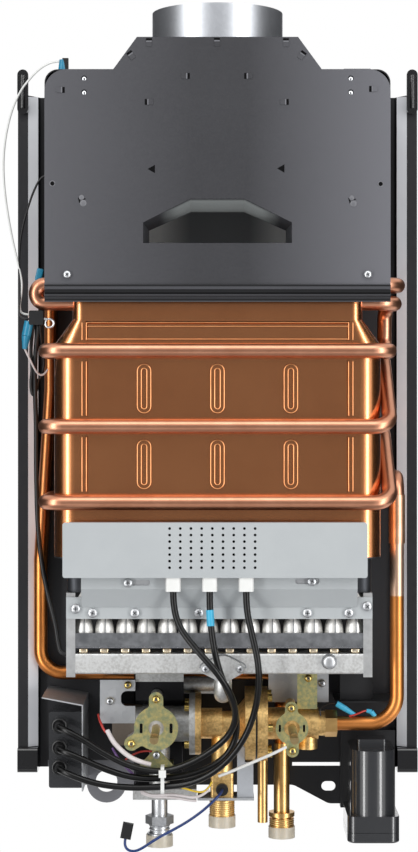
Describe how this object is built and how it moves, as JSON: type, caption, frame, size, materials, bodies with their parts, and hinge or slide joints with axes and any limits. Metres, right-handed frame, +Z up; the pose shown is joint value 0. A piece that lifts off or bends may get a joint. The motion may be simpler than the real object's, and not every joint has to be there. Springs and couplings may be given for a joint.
{
  "type": "tankless gas water heater",
  "caption": "Wall-hung tankless gas water heater with its front cover off: draught hood, copper exchanger with coil, burner bars, gas and water valves, igniter and battery case.",
  "frame": {"origin": "on the wall face of the back plate, midway between the two upper wall slots", "axes": "+Z up, the open front faces -Y, +X to the right seen from the front"},
  "size_m": [0.3578, 0.15, 0.7106],
  "materials": {
    "enamelled_pan": "black stove-enamelled sheet",
    "grey_plastic": "grey moulded plastic",
    "dark_hood_sheet": "satin dark grey coated sheet",
    "black_hood_sheet": "black coated sheet",
    "galvanised_sheet": "galvanised sheet",
    "shell_copper": "tinned and heat-tinted copper sheet",
    "tube_copper": "bare copper tube",
    "burner_steel": "stainless burner sheet",
    "cast_aluminium": "as-cast aluminium",
    "brass": "machined brass",
    "screw_steel": "zinc-plated steel",
    "white_ceramic": "white fired ceramic",
    "black_plastic": "black moulded plastic",
    "passivated_steel": "yellow-passivated zinc plate",
    "frosted_plastic": "frosted white polyethylene",
    "blue_plastic": "blue moulded plastic",
    "dark_plastic": "dark grey moulded plastic",
    "dark_steel": "heat-darkened steel sheet",
    "black_rubber": "black rubber",
    "cell_steel": "dry cell jacket",
    "wire_pvc": "PVC insulation",
    "white_nylon": "white nylon"
  },
  "bodies": {
    "heater": {"back_plate": "enamelled_pan", "battery_bracket": "black_hood_sheet", "battery_case": "dark_plastic", "battery_cells": "cell_steel", "blue_lead": "blue_plastic", "burner_air_bar": "dark_steel", "burner_bars": "burner_steel", "burner_cross_plates": "galvanised_sheet", "burner_frame": "dark_steel", "burner_side_plates": "galvanised_sheet", "cable_shelf": "black_hood_sheet", "cable_tie": "white_nylon", "chamber_brackets": "galvanised_sheet", "coil_pipe": "tube_copper", "combustion_shell": "shell_copper", "cover_catches": "black_plastic", "diaphragm": "black_rubber", "electrode_boots": "white_ceramic", "electrode_bracket": "galvanised_sheet", "electrode_cover": "galvanised_sheet", "electrodes": "burner_steel", "fin_core": "shell_copper", "flow_switch": "grey_plastic", "flue_collar": "galvanised_sheet", "flue_hood_body": "black_hood_sheet", "flue_hood_front": "dark_hood_sheet", "gas_inlet_nipple": "screw_steel", "gas_knob_plate": "passivated_steel", "gas_manifold": "cast_aluminium", "gas_nozzles": "brass", "gas_valve_body": "cast_aluminium", "harness": "wire_pvc", "hot_outlet_tube": "brass", "hot_pipe": "tube_copper", "igniter_box": "dark_plastic", "igniter_shield": "galvanised_sheet", "ignition_leads": "black_rubber", "inlet_grommet": "black_rubber", "relief_tube": "brass", "return_bends": "tube_copper", "riser_pipe": "tube_copper", "riser_sleeve": "tube_copper", "sensor_wires": "wire_pvc", "sheet_screws": "screw_steel", "thermal_switches": "blue_plastic", "union_nut": "brass", "valve_brackets": "passivated_steel", "valve_fasteners": "screw_steel", "valve_mounting_plates": "galvanised_sheet", "water_knob_plate": "passivated_steel", "water_valve_body": "brass", "water_valve_cover": "brass", "wire_connector": "black_plastic"},
    "gas_spindle": {"gas_spindle": "brass"},
    "water_spindle": {"water_spindle": "brass"},
    "push_rod": {"push_rod": "brass"},
    "battery_lid": {"battery_lid": "dark_plastic"},
    "gas_cap": {"gas_dust_cap": "frosted_plastic"},
    "cold_cap": {"cold_dust_cap": "frosted_plastic"},
    "hot_cap": {"hot_dust_cap": "frosted_plastic"}
  },
  "joints": [
    {"name": "gas_knob_turn", "type": "hinge", "parent": "heater", "child": "gas_spindle", "pos_m": [-0.0517, -0.1, -0.5565], "axis": [0, -1, 0], "range_deg": [-270, 0]},
    {"name": "water_knob_turn", "type": "hinge", "parent": "heater", "child": "water_spindle", "pos_m": [0.0627, -0.1, -0.5565], "axis": [0, -1, 0], "range_deg": [-270, 0]},
    {"name": "push_rod_stroke", "type": "slide", "parent": "heater", "child": "push_rod", "axis": [-1, 0, 0], "range_m": [0, 0.003]},
    {"name": "battery_lid_slide", "type": "slide", "parent": "heater", "child": "battery_lid", "axis": [0, 0, -1], "range_m": [0, 0.07]},
    {"name": "gas_cap_slide", "type": "slide", "parent": "heater", "child": "gas_cap", "axis": [0, 0, -1], "range_m": [0, 0.06]},
    {"name": "cold_cap_slide", "type": "slide", "parent": "heater", "child": "cold_cap", "axis": [0, 0, -1], "range_m": [0, 0.06]},
    {"name": "hot_cap_slide", "type": "slide", "parent": "heater", "child": "hot_cap", "axis": [0, 0, -1], "range_m": [0, 0.06]}
  ]
}
